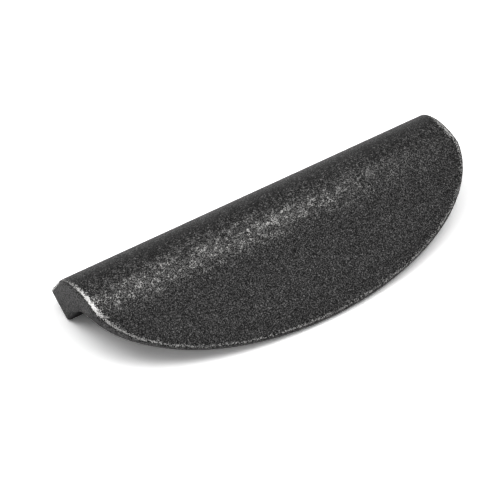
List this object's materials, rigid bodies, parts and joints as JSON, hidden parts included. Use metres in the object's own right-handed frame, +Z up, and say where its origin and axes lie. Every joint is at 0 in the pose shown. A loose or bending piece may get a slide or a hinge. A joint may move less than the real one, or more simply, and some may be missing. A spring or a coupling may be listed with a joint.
{
  "type": "cabinet handle",
  "caption": "Half-moon cabinet handle: a bar against the door, a round shoulder and a curved apron that fingers reach behind, cast whole, with tapped screw holes.",
  "frame": {"origin": "centre of the mounting face, half way between the two screw holes, on the surface of the drawer or door front", "axes": "+Z up the drawer front, -Y the way the handle stands out towards the hand, +X along the handle's length"},
  "size_m": [0.12, 0.0228, 0.0417],
  "materials": {
    "antique_pewter": "black antique coating with a fine cast grain, rubbed back to bare grey metal on the shoulder and the rim"
  },
  "bodies": {
    "root": {"handle": "antique_pewter"}
  },
  "joints": []
}
